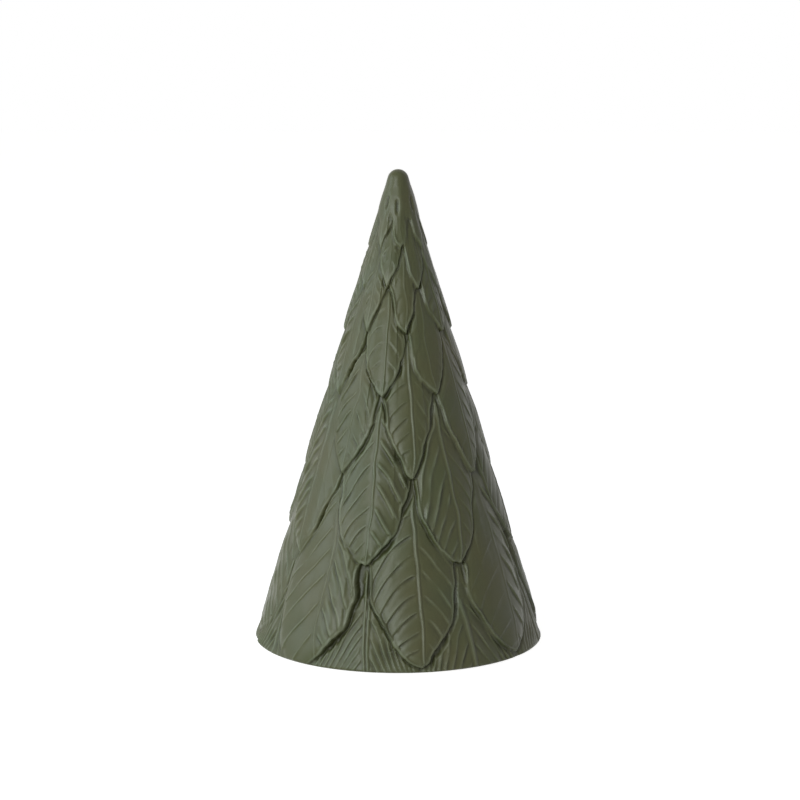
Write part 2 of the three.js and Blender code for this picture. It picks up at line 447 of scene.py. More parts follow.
FRONT_LEAVES = (
    seen_leaf(
        row=1, rib_height=0.9, rib_width=1.5, rib_groove=1.5, rib_end=46.5,
        left=((-13.5, -61), (-32, -25), (-36, 2), (-36, 50)),
        right=((-13.5, -61), (5, -25), (9, 2), (9, 50)),
        rib=((-12.6, -8), (-12.8, 6), (-13.5, 27), (-13.8, 43), (-13.4, 50.6)),
        left_fan=((-2, 3, 8.5, 13.5, 19, 24.5, 31), 1.2, 0.03, 0.4, 0.6, 0.35, 0),
        right_fan=((-5, 2.5, 10.5, 19, 27.5), 1.5, 0.065, 0.75, 0.8, 0.4, 0, 0.2),
    ),
    seen_leaf(
        row=1, rib_height=0.6, rib_width=1.5, rib_end=34,
        left=((31.5, -61), (13, -25), (9, 2), (9, 50)),
        right=((31.5, -61), (50, -25), (54, 2), (54, 50)),
        rib=((30.8, -8), (31, 12.8), (30.2, 20.5), (29, 28), (30, 50.6)),
        left_fan=((-4, 5, 14.5, 24), 1.0, 0.07, 0.5, 0.8, 0.35, 0),
        right_fan=((-4, 5, 14.5, 24), 1.3, 0.035, 0.45, 0.8, 0.3, 0),
    ),
    seen_leaf(
        row=2, strength=0.5, tip_dip=2.4, rib_height=0.3, right_groove=2.6, right_rim=1.0, lips=1.0,
        groove_width=0.9, seam_low=22,
        left=((-82, 5), (-88, 10), (-95, 19), (-99, 30), (-102, 52)),
        right=((-82, 5), (-75, 9), (-67, 16), (-63.5, 24), (-62, 32), (-61, 40), (-60, 47), (-58, 54)),
        rib=((-82, 9), (-81.5, 30), (-82, 55), (-81, 91)),
        left_fan=(range(6, 63, 7), 1.2, 0.03, 0.2, 0.8, 0.4),
        right_fan=((6, 15, 24, 32, 40, 49, 57, 66, 75, 84), 1.5, 0.0, 0.15, 0.8, 1.2),
    ),
    seen_leaf(
        row=2, rib_height=0.35, rib_width=0.8, right_groove=1.2, scallop=0.35, dip=0.6, tilt=2.2,
        **SOFT_LEFT,
        left=((-45, -6), (-52, 2), (-56.5, 10), (-58.5, 20), (-59.5, 32), (-59.5, 44), (-59, 53)),
        right=(
            (-34.5, 3), (-32, 6), (-27, 12), (-21, 20),
            (-20, 27), (-17.2, 35), (-18, 42), (-16.5, 51),
        ),
        rib=((-34.3, 4), (-35.5, 18), (-35, 30), (-34.5, 42), (-33.2, 53), (-34.5, 69), (-36, 91)),
        left_fan=((6, 18, 32.5, 46.5, 58, 69, 80), 1.3, 0.0, 0.06, 0.9, 0.5),
        right_fan=(
            (5, 17.5, 29.5, 41.5, 52.5, 61.5, 71, 81), 0.78, 0.035, 0.7, 0.9, 1.0, 1, 0.8, 0.05, 0.8
        ),
    ),
    seen_leaf(
        row=2, rib_height=0.5, rib_width=0.85, left_groove=0.6, left_soft=0.8, left_rim=1.2, lips=0.5,
        right_groove=0.7, right_soft=1.3,
        left=((9, 2), (5, 4), (0, 10), (-5, 18), (-8, 24), (-12, 31), (-13.5, 40), (-14, 46), (-16, 52)),
        right=((9, 2), (11, 3), (15, 8), (21, 16), (25, 26), (27.5, 38), (28.5, 47), (30, 53)),
        rib=((10, 4), (9.8, 30), (9.3, 45), (8.3, 70), (8, 92)),
        left_fan=((5, 12.2, 20, 28.7, 37.3, 46, 55.5, 65, 74, 83), 0.22, 0.036, 0.5, 0.7, 0.35),
        right_fan=(range(5, 83, 11), 0.85, 0.03, 0.35, 1.1, 0.25, 2, 0, 0, 0.6),
    ),
    seen_leaf(
        row=2, rib_height=0.15, left_rim=1.0, left_soft=2.2,
        left=(
            (54, 2), (48.2, 5.5), (42, 12.8), (38.5, 19),
            (35.6, 25), (33.4, 32), (32.8, 39), (32.6, 52),
        ),
        right=((54, 2), (59, 6), (65, 13), (70, 22), (73, 33), (75, 44), (76, 52)),
        rib=((56, 3), (56, 12), (56.5, 22), (56.5, 35), (57, 51), (55, 70), (54, 91)),
        left_fan=((8, 20, 33, 45.7, 58, 70), 0.3, 0.03, 0.15, 0.9, 0.12),
        right_fan=((12, 25, 38, 50.5, 62, 74), 1.2, 0.02, 0.3, 0.9, 0.6, 2, 0, 0, 0.7),
    ),
    seen_leaf(
        row=3, rib_height=0.3, rib_width=0.9, right_groove=2.0, right_rim=0.9, lips=0.9,
        groove_width=0.65, seam_low=57,
        left=((-57, 51), (-61, 54), (-67, 60), (-73, 68), (-77, 78), (-80, 90)),
        right=(
            (-57, 51), (-54.5, 54), (-50, 60), (-46.5, 67),
            (-43.5, 74), (-40.5, 81), (-38, 86), (-35.5, 92),
        ),
        rib=((-57, 52), (-57.5, 70), (-58, 90), (-57.5, 129)),
        left_fan=((56, 63, 70, 77, 84, 91, 99, 107, 115), 1.1, 0.02, 0.1, 0.8, 1.0, 1, 0, 0, 0.8),
        right_fan=((58, 67, 76, 87, 98, 109), 1.2, 0.05, 0.08, 1.0, 0.1),
    ),
    seen_leaf(
        row=3, rib_height=0.4, rib_width=0.8, scallop=0.35, left_groove=0.6, left_soft=0.9,
        right_groove=1.2, seam_low=44,
        left=((-15.5, 48.5), (-18, 50), (-24, 55), (-29.5, 60.5), (-33, 69), (-35, 80), (-36, 92)),
        right=((-15.5, 48.5), (-12, 51.5), (-5, 58.5), (-0.5, 66), (3.5, 75), (6.5, 82), (9, 90)),
        rib=((-15.5, 50), (-15, 62), (-14.3, 80), (-14, 100), (-13.5, 129)),
        left_fan=((54.5, 62, 70, 79, 89, 99, 109, 119), 0.7, 0.05, 0.35, 0.6, 0.55),
        right_fan=((56, 67, 78, 89, 99.5, 110, 120), 1.0, 0.035, 0.5, 1.1, 1.4, 1, 0.3, 0.0, 0.9),
    ),
    seen_leaf(
        row=3, rib_height=0.5, rib_width=1.2, left_groove=0.3, left_rim=1.0, left_soft=2.2,
        left=((31, 48.5), (28, 49.8), (23.5, 54), (18, 60), (14, 66.5), (11, 77), (9, 90)),
        right=((31, 48.5), (35.5, 52.5), (40.2, 58.3), (43, 64.2), (45.2, 73), (50.5, 83), (53, 91)),
        rib=((31, 50), (32.2, 57.8), (33, 67), (33.2, 75), (32.8, 81), (31, 100), (30.5, 129)),
        left_fan=((51, 62, 73, 84.5, 96, 108, 119), 1.5, 0.05, 0.45, 0.8, 0.45, 2, 0, 0, 0.8),
        right_fan=((60, 71, 83, 94, 105, 116), 1.0, 0.06, 0.3, 1.0, 0.2),
    ),
    seen_leaf(
        row=4, rib_height=0.3, rib_width=0.8, right_groove=1.3, scallop=0.35, dip=0.6, **SOFT_LEFT,
        left=((-35.5, 91.5), (-39, 95), (-44, 101), (-48, 108), (-51, 116), (-53, 123), (-56, 131)),
        right=((-35.5, 91.5), (-28.5, 99.5), (-22, 108), (-18, 115), (-17.2, 122), (-14, 130)),
        rib=((-35.5, 92.5), (-35.2, 102), (-35, 113), (-34, 123), (-33, 132), (-34, 145), (-36, 159)),
        left_fan=((97, 106.5, 115.5, 124.5, 134, 144), 1.4, 0.03, 0.06, 0.8, 1.1, 1),
        right_fan=((96, 104.5, 113.5, 123.5, 133.5, 143.5), 0.9, 0.08, 0.45, 0.7, 0.6, 2, 0.3),
    ),
    seen_leaf(
        row=4, rib_height=0.55, rib_width=0.9, right_groove=1.2, left_groove=0.6, left_rim=1.0,
        left_soft=0.9, lips=0.4,
        left=((9, 90), (7, 91), (2, 98), (-4, 106), (-8, 114), (-9.5, 120), (-12, 125), (-14.5, 130)),
        right=((9, 90), (11, 92), (16, 100), (20, 108), (24, 115), (26, 122), (31, 130)),
        rib=((9, 92), (10, 99), (10.7, 113), (10.3, 129), (10.2, 147), (9, 159)),
        left_fan=((98, 105.5, 113, 120.3, 128, 137, 146.5), 0.25, 0.045, 0.45, 0.8, 0.22, 3),
        right_fan=(range(95, 150, 9), 1.2, 0.05, 0.25, 0.9, 0.15),
    ),
    seen_leaf(
        row=4, rib_height=0.3, left_rim=1.0, left_soft=2.2,
        left=((53, 90), (50, 92), (45.8, 98.2), (41.2, 105), (37, 113.2), (34.8, 122.8), (31.5, 131)),
        right=((53, 90), (57, 94), (62, 101), (67, 109), (71, 118), (75, 131)),
        rib=((53.5, 91), (54, 110), (54, 130), (53.5, 159)),
        left_fan=(range(100, 141, 10), 0.9, 0.05, 0.1, 1.0, 0.08),
        right_fan=(range(99, 140, 10), 1.2, 0.05, 0.3, 1.0, 0.25),
    ),
    seen_leaf(
        row=5, rib_height=0.3, right_groove=2.0, right_rim=0.9, lips=0.9, groove_width=0.75,
        seam_low=133, scallop=0.5,
        left=((-57, 129), (-63, 134), (-70, 141), (-76, 150), (-80, 160)),
        right=((-57, 129), (-52, 134), (-47, 139.5), (-43, 144.5), (-40, 148), (-37, 153), (-35, 158)),
        rib=((-57, 130), (-57.5, 145), (-58, 160), (-57.5, 181)),
        left_fan=((133, 139, 145, 151, 157, 163, 170), 1.2, 0.02, 0.12, 0.8, 1.2, 1),
        right_fan=((135, 143, 151, 159, 168), 1.2, 0.05, 0.08, 1.0, 0.1),
    ),
    seen_leaf(
        row=5, rib_height=0.45, rib_width=0.9, right_groove=1.4, left_groove=0.6, left_rim=0.8,
        left_soft=0.9, scallop=0.45,
        left=(
            (-12.4, 128.8), (-16.2, 130.8), (-21.8, 135.5), (-26, 140),
            (-31, 146), (-34.5, 152), (-36, 161),
        ),
        right=(
            (-12.4, 128.8), (-7.5, 132.5), (-3.5, 137), (0.6, 140.5),
            (3, 145), (6.6, 151), (9.5, 161),
        ),
        rib=((-12.4, 129.5), (-11.2, 139), (-11.6, 150), (-12.2, 160), (-12, 172), (-13.5, 181)),
        left_fan=((130, 138.5, 147.8, 156.5, 165, 173), 0.3, 0.06, 0.35, 0.7, 0.3, 3),
        right_fan=((129, 138, 147.6, 157.5, 167, 175), 0.6, 0.1, 0.45, 0.9, 0.3),
    ),
    seen_leaf(
        row=5, rib_height=0.3, scallop=0.35, left_rim=1.3, left_soft=2.2,
        left=((32.3, 129.2), (24.8, 133.8), (18.8, 138), (15, 141.5), (12.4, 147), (11, 155), (9.5, 161)),
        right=((32.3, 129.2), (36, 132), (41, 137.2), (45.2, 143.5), (50, 152.5), (53, 161)),
        rib=((32.5, 130), (30, 139), (28.8, 149.5), (29, 157), (29.5, 166), (31, 181)),
        left_fan=((134, 142, 150, 159, 168), 0.8, 0.08, 0.12, 1.2, 0.05),
        right_fan=(range(134, 171, 9), 1.0, 0.08, 0.15, 1.2, 0.05),
    ),
    seen_leaf(
        row=6, right_groove=2.0, dip=0.6, **SOFT_LEFT,
        left=((-35, 160), (-39, 163), (-45, 168), (-50, 174), (-54, 179), (-58, 183)),
        right=((-35, 160), (-33, 161.5), (-28, 168), (-24, 172), (-20, 177), (-14, 182)),
        rib=((-35, 161), (-35.5, 175), (-36, 190), (-36, 201)),
        left_fan=((164, 170, 175, 181, 187), 1.6, 0.05, 0.1, 0.9, 1.1),
        right_fan=((163, 168, 173, 178, 184), 1.3, 0.1, 0.25, 0.9, 0.8),
    ),
    seen_leaf(
        row=6, rib_height=0.3, right_groove=1.1, left_rim=0.9, left_groove=0.5, left_soft=0.9, lips=0.4,
        left=((9.5, 159), (4, 161.3), (-2, 166), (-6, 171), (-8.5, 176), (-14, 182.5)),
        right=((9.5, 159), (14, 164), (18.5, 169), (21.5, 175), (26, 179.5), (31, 183)),
        rib=((9.5, 160), (10, 170), (9.5, 181), (9, 192), (9, 201)),
        left_fan=((165, 173, 181, 190), 0.7, 0.1, 0.35, 1.0, 0.12),
        right_fan=((164, 172, 180, 189), 0.9, 0.1, 0.3, 1.0, 0.1),
    ),
    seen_leaf(
        row=7, rib_height=0.25, right_groove=0.9, left_rim=0.5,
        left=((-14.8, 181.5), (-22.5, 186.5), (-29, 191), (-34, 196), (-36, 202)),
        right=((-14.8, 181.5), (-7.8, 187), (0, 191.3), (3, 195.5), (8, 202)),
        rib=((-14.8, 182), (-14, 190), (-13.5, 202), (-13, 214.5)),
        left_fan=((184, 190, 196.5, 203), 0.8, 0.1, 0.2, 0.9, 0.7),
        right_fan=((184, 190, 196.5, 203), 0.9, 0.1, 0.2, 0.9, 0.6),
    ),
    seen_leaf(
        row=7, rib_height=0.15, right_groove=0.6, left_rim=0.9,
        left=((29.5, 181), (22, 185.5), (15.5, 189.5), (12.5, 195), (9, 202)),
        right=((29.5, 181), (37, 186), (45, 191), (49, 196), (53, 202)),
        rib=((29.5, 182), (31, 192), (31, 202), (31, 214.5)),
        left_fan=(range(184, 206, 7), 0.9, 0.1, 0.15, 0.9, 0.06),
        right_fan=(range(184, 206, 7), 0.9, 0.1, 0.15, 0.9, 0.06),
    ),
    seen_leaf(
        row=8, rib_height=0.2, right_groove=1.6, **SOFT_LEFT,
        left=((-36, 201), (-44, 204), (-51, 208), (-55, 212), (-60, 217)),
        right=((-36, 201), (-33, 203), (-26, 207.5), (-19, 212), (-14, 217)),
        rib=((-36, 201.5), (-36, 210), (-36, 218), (-36, 224)),
        left_fan=(range(204, 217, 4), 1.2, 0.1, 0.1, 0.9, 1.0),
        right_fan=UPPER_FAN,
    ),
    seen_leaf(
        row=8, rib_height=0.2, right_groove=0.5, right_soft=2.6, left_rim=1.6,
        left=((4.5, 201), (-4, 204), (-11, 208), (-15, 212), (-19, 217)),
        right=((4.5, 201), (13, 203), (20, 207), (25, 212), (30, 217)),
        rib=((7.3, 201.5), (7, 210), (7, 218), (7, 224)),
        left_fan=UPPER_FAN,
        right_fan=UPPER_FAN,
    ),
    seen_leaf(
        row=8, rib_height=0.2, right_groove=0.3, right_soft=2.0, left_rim=0.9,
        left=((53, 201), (46, 204), (40, 207), (35, 211), (31, 217)),
        right=((53, 201), (60, 204), (66, 208), (71, 212), (75, 217)),
        rib=((53, 201.5), (53, 210), (53, 218), (53, 224)),
        left_fan=UPPER_FAN,
        right_fan=UPPER_FAN,
    ),
)


@dataclass(frozen=True)
class CapForm:
    """How the leaves pass into the smooth cap, with a short upright dent over each gap.

    Attributes:
        dents: the middle of each dent, as (angle, height).
        depth: how deep a dent is.
        width: half its width.
        length: half its length.
        leaves_end: height at which the leaves begin to fade.
        lift: how far the surface over them stands over the plain cone.
        bare: height at which that lift begins to fade.
    """

    dents: Line = (
        (-3, 221.5), (-37, 224), (49, 223), (95, 222),
        (140, 223), (184, 222), (231, 223), (276, 222),
    )
    depth: float = 0.9
    width: float = 0.75
    length: float = 3.4
    leaves_end: float = 215.0
    lift: float = 0.3
    bare: float = 226.0


@dataclass
class LeafRelief:
    """The carved skin: how far it stands over the plain cone, on a grid of heights and angles.

    Attributes:
        columns: grid steps round the cone.
        row_step: height between grid rows.
        top: height at which the grid ends.
        cap: how the cap begins.
        reach_round: how far to both sides of its midrib a leaf is laid, in degrees.
        reach_down: how far below its tip the surface still sinks.
        base_lift: how far a leaf's covered root stands over the plain cone.
        tip_lift: how far the tip of one of the lowest leaves stands over its root.
        crown: how far a leaf's blade swells over its edge.
        tip_drop: how far a leaf bends down at its tip.
        dip: how far the surface beside a leaf sinks towards its margin.
        line_width: half the width of the fine raised lines at the margins.
        floor: the depth past which the carving is held back.
        floor_give: how far it can still pass that depth.
        glaze_blur: how far the glaze smooths the carving.
        pool_blur: the breadth of the hollows in which the glaze pools.
        pool_depth: how deep such a hollow is where the pool is full.
        waves: how many plane waves make up an unevenness.
        waviness: how strong the unevenness of the finished surface is.
        seed: seeds the chance in the other leaves and in the unevenness.
        sway: how far the drift shifts a leaf's lines.
        drift: the unevenness that shifts lines to the side and up, and varies grooves and veins.
    """

    columns: int = 1080
    row_step: float = 0.44
    top: float = 232.0
    cap: CapForm = CapForm()
    reach_round: float = 33.0
    reach_down: float = 16.0
    base_lift: float = -0.25
    tip_lift: float = 1.9
    crown: float = 0.9
    tip_drop: float = 0.7
    dip: float = 1.4
    line_width: float = 0.38
    floor: float = -1.5
    floor_give: float = 0.6
    glaze_blur: float = 0.14
    pool_blur: float = 1.1
    pool_depth: float = 0.4
    waves: int = 9
    waviness: float = 0.06
    sway: float = 0.25
    seed: int = 24
    drift: dict[str, Array] = field(init=False)
    z: Array = field(init=False)
    angle: Array = field(init=False)
    lift: Array = field(init=False)
    pooling: Array = field(init=False)

    def __post_init__(self) -> None:
        self.z = np.arange(0.0, self.top, self.row_step)
        self.angle = np.arange(self.columns) * 360.0 / self.columns - 180.0
        self.carve()

    def unevenness(self, chance: np.random.Generator, wavelength: float) -> Array:
        """Smooth chance on the grid: a sum of plane waves that close up round the cone.

        Args:
            chance: the seeded generator.
            wavelength: the usual length of a wave.

        Returns:
            Values of about -1 to 1 on the grid.
        """
        middle_radius = CONE.radius(CONE.height / 3)
        total = np.zeros((len(self.z), self.columns))
        for _ in range(self.waves):
            heading = chance.uniform(0, np.pi)
            beats = 2 * np.pi / (wavelength * chance.uniform(0.7, 1.4))
            turns = round(float(beats * np.cos(heading) * middle_radius))
            rise = beats * np.sin(heading)
            phase = chance.uniform(0, 2 * np.pi)
            total += np.cos(turns * np.radians(self.angle)[None, :] + rise * self.z[:, None] + phase)
        return total / np.sqrt(self.waves / 2.0)

    def carve(self) -> None:
        """Lays the leaves on the cone from the lowest row up, then lets the glaze soften them."""
        chance = np.random.default_rng(self.seed)
        wavelengths = {"side": 20.0, "rise": 20.0, "groove": 18.0, "vein": 13.0}
        self.drift = {name: self.unevenness(chance, length) for name, length in wavelengths.items()}
        self.lift = np.full((len(self.z), self.columns), self.base_lift)
        for row in range(1, len(ROWS.tip_shares)):
            for leaf in range(ROWS.leaves):
                middle = ROWS.middle(row, leaf)
                cut = wild_leaf(row, leaf, chance)
                for seen in FRONT_LEAVES:
                    if seen.row == row and abs(seen.tip[0] - middle) < ROWS.pitch / 2:
                        cut = seen
                self.lay(cut)
        past_floor = np.tanh(np.minimum(self.lift - self.floor, 0.0) / self.floor_give)
        self.lift = np.maximum(self.lift, self.floor) + self.floor_give * past_floor
        self.smooth_cap()
        self.lift += self.waviness * self.unevenness(chance, 30.0)
        self.lift = self.blurred(self.lift, self.glaze_blur)
        hollows = self.blurred(self.lift, self.pool_blur) - self.lift
        self.pooling = np.clip(hollows / self.pool_depth, -1.0, 1.0)

    def lay(self, cut: LeafCut) -> None:
        """Carves one leaf over what lies there already.

        Inside its outline the leaf stands at blade + rims + veins - border + tilt + midrib. Beside it the
        surface sinks towards the margin, with a groove and a raised line along it. Both fade out at the
        foot and at the covered root, and a smooth step across the margin leads from one to the other.

        Args:
            cut: the leaf.
        """
        low = cut.tip[1] - self.reach_down
        rows = np.flatnonzero((self.z >= low) & (self.z <= cut.root))
        if not len(rows):
            return
        middle = cut.rib[0][0]
        step = 360.0 / self.columns
        ends = (round((middle + side * self.reach_round + 180.0) / step) for side in (-1, 1))
        columns = np.arange(*ends)
        angles = columns * step - 180.0
        window = np.ix_(rows, columns % self.columns)
        side, rise, groove_drift, vein_drift = (drift[window] for drift in self.drift.values())
        z = self.z[rows][:, None] + self.sway * rise
        per_degree = CONE.per_degree(z)
        angle = angles[None, :] + self.sway * side / per_degree
        rib_angle, _ = SmoothLine(cut.rib).at(z)
        left_angle, left_slope = SmoothLine(cut.left).at(z)
        right_angle, right_slope = SmoothLine(cut.right).at(z)
        across = np.abs(angle - rib_angle) * per_degree
        from_left = (angle - left_angle) * per_degree / np.hypot(1.0, left_slope * per_degree)
        from_right = (right_angle - angle) * per_degree / np.hypot(1.0, right_slope * per_degree)
        margin = np.minimum(from_left, from_right)
        half_width = np.maximum((right_angle - left_angle) * per_degree / 2, 0.0)

        from_tip = cut.from_tip(z)
        left_parts = self.panels(cut.left_fan, z, across, margin, from_tip)
        right_parts = self.panels(cut.right_fan, z, across, margin, from_tip)
        on_left = angle < rib_angle
        share, veins = (np.where(on_left, a, b) for a, b in zip(left_parts, right_parts))
        to_left = smooth_step(0.5 + (from_right - from_left) / 7.0)
        under_root = smooth_step((cut.root - z) / 5.0)
        seam = smooth_step((z - cut.seam_low) / 8.0)
        above_foot = smooth_step(z / 7.0)
        behind_tip = 0.25 + 0.75 * smooth_step((z - cut.tip[1]) / 6.0)
        narrow = smooth_step(half_width / 5.0)
        width = cut.size * cut.groove_width * (1.2 - 0.5 * to_left) * (1.0 + 0.2 * groove_drift)
        swing = cut.scallop * (np.sin(np.pi * share) - 0.5) * narrow
        inside = margin - 0.9 * width * behind_tip + swing

        edge_line = 1.2 + 1.2 * share
        border = cut.border * (1.0 - smooth_step((inside - edge_line) / 0.8))
        beside_rib = smooth_step((across - 0.5) / 3.0)
        beside_margin = smooth_step((inside - edge_line + 0.6) / 1.0)
        strength = np.clip(1.0 + 0.3 * vein_drift, 0.3, 1.8)
        uneven = np.clip(0.9 + 0.6 * groove_drift, 0.1, 1.9)
        rim = (cut.right_rim * seam + (cut.left_rim - cut.right_rim * seam) * to_left) * uneven
        blade = self.blade(cut, z, inside)
        blade += cut.size * rim * above_foot * hump(inside - 0.7, self.line_width)
        blade += cut.size * narrow * (strength * veins * beside_rib * beside_margin - border)
        blade += cut.size * np.where(on_left, 0.0, cut.tilt) * narrow * smooth_step(across / 10.0)
        blade += self.midrib(cut, z, across, half_width)
        softness = cut.right_soft + 2.5 * (1.0 - seam)
        softness = softness + (cut.left_soft - softness) * to_left
        mask = smooth_step(inside / softness + 0.5)
        depth = (cut.right_groove * seam * (1.0 - to_left) + cut.left_groove * to_left) * uneven
        groove = depth * hump(inside + 0.9 * width, width)
        groove = groove - cut.lips * seam * hump(inside + 2.1 * width, self.line_width)
        near_tip = np.exp(-np.maximum(z - cut.tip[1], 0.0) / 8.0)
        sinking = self.dip * (cut.dip + (cut.tip_dip - cut.dip) * near_tip)
        sinking = sinking * np.exp(np.minimum(inside, 0.0) / 6.0)
        fade = above_foot * under_root * smooth_step((z - low) / 10.0)
        beside = self.lift[window] - cut.size * (groove + sinking) * fade * (1.0 - mask)
        mask *= under_root
        self.lift[window] = beside * (1.0 - mask) + blade * mask

    def blade(self, cut: LeafCut, z: Array, inside: Array) -> Array:
        """The leaf without midrib and veins: it rises to its tip and swells over its edge.

        Args:
            cut: the leaf.
            z: heights of the grid points.
            inside: their distance inside the margin.

        Returns:
            How far the blade stands over the plain cone.
        """
        share = np.clip((cut.root - z) / (cut.root - cut.tip[1]), 0.0, 1.0)
        swell = self.crown * (1.0 - np.exp(-np.maximum(inside, 0.0) / 4.5))
        drop = self.tip_drop * np.exp(-np.maximum(z - cut.tip[1], 0.0) / 5.0)
        return self.base_lift + cut.size * (self.tip_lift * share**1.4 + swell - drop)

    def midrib(self, cut: LeafCut, z: Array, across: Array, half_width: Array) -> Array:
        """The midrib: a bell-shaped ridge that thins towards the tip, between two shallow grooves.

        Args:
            cut: the leaf.
            z: heights of the grid points.
            across: their distance from the midrib's middle.
            half_width: half the leaf's width at their height.

        Returns:
            How far the midrib stands over the blade.
        """
        width = cut.size * cut.rib_width * (0.5 + 0.5 * cut.from_tip(z))
        ridge = hump(across, width / 1.4) - 0.35 * hump(across - 1.5 * width, width / 2)
        channel = cut.rib_groove * hump(across, width / 2.5)
        fade = smooth_step(half_width / 3.5) * smooth_step((cut.rib_end - z) / 2.5)
        return cut.size * fade * (cut.rib_height * ridge - channel)

    def panels(
        self, fan: VeinFan, z: Array, across: Array, margin: Array, from_tip: Array
    ) -> tuple[Array, Array]:
        """The panels between side veins: a raised line at each vein, over a hollow that fades downwards.

        A vein is the line where height + slope * across + bow * across^2 is the height of its start,
        with a hook down at the margin. Under it the hollow is depth * (d / reach) * exp(1 - d / reach)
        deep, d being the distance below the vein.

        Args:
            fan: the veins of one half.
            z: heights of the grid points.
            across: their distance from the midrib.
            margin: their distance inside the margin.
            from_tip: their share of the way from the leaf's tip to its root.

        Returns:
            Each point's share of the way from its lower vein to its upper one, and its height over the
            blade.
        """
        starts = np.array(fan.starts)
        first, last = starts[1] - starts[0], starts[-1] - starts[-2]
        before = starts[0] - first * np.array([3.0, 2.0, 1.0])
        after = starts[-1] + last * np.arange(1.0, 6.0)
        knots = CONE.along(np.concatenate([before, starts, after]))
        hook = fan.hook * np.square(np.clip(1.0 - margin / 4.0, 0.0, 1.3))
        bow = fan.bow + fan.tip_bow * np.square(1.0 - from_tip)
        level = CONE.along(z) + fan.slope * across + bow * across**2 + hook
        phase = np.clip(np.interp(level, knots, np.arange(len(knots))), 0.0, len(knots) - 1.001)
        number = phase.astype(int)
        share = phase - number
        spacing = np.diff(knots)[number] / np.hypot(1.0, fan.slope + 2.0 * bow * across)
        under = (1.0 - share) * spacing
        nearest = np.minimum(share, 1.0 - share) * spacing
        hollow = under / fan.reach * np.exp(1.0 - under / fan.reach)
        bulge = fan.swell * (np.sin(np.pi * share) - 0.5)
        return share, fan.lip * hump(nearest, fan.lip_width) - fan.depth * hollow + bulge

    def smooth_cap(self) -> None:
        """Passes from the uppermost leaves into the smooth cap, and cuts the dents there."""
        cap = self.cap
        height = self.z[:, None]
        share = smooth_step((height - cap.leaves_end) / 8.0)
        self.lift = self.lift * (1.0 - share) + cap.lift * share
        for turn, z in cap.dents:
            across = ((self.angle[None, :] - turn + 180.0) % 360.0 - 180.0) * CONE.per_degree(height)
            self.lift -= cap.depth * hump(across, cap.width) * np.exp(-(((height - z) / cap.length) ** 4))
        self.lift *= 1.0 - smooth_step((height - cap.bare) / 6.0)

    def blurred(self, values: Array, reach: float) -> Array:
        """The values smoothed by a bell of the given reach along the surface.

        Round the cone this multiplies each wave's height by exp(-(waves * reach / radius)^2 / 2). Up the
        cone it is a weighted mean of neighbouring rows.

        Args:
            values: values on the grid.
            reach: the bell's standard deviation.

        Returns:
            The smoothed values.
        """
        waves = np.arange(self.columns // 2 + 1)[None, :]
        radius = np.maximum(CONE.radius(self.z), CONE.cap_radius)[:, None]
        spectrum = np.fft.rfft(values, axis=1) * np.exp(-0.5 * np.square(waves * reach / radius))
        rounded = np.fft.irfft(spectrum, self.columns, axis=1)
        span = int(np.ceil(3.0 * reach / self.row_step))
        offsets = np.arange(-span, span + 1)
        weights = np.exp(-0.5 * np.square(offsets * self.row_step / reach))
        weights /= weights.sum()
        padded = np.pad(rounded, ((span, span), (0, 0)), mode="edge")
        return sum(w * padded[i : i + len(self.z)] for i, w in enumerate(weights))


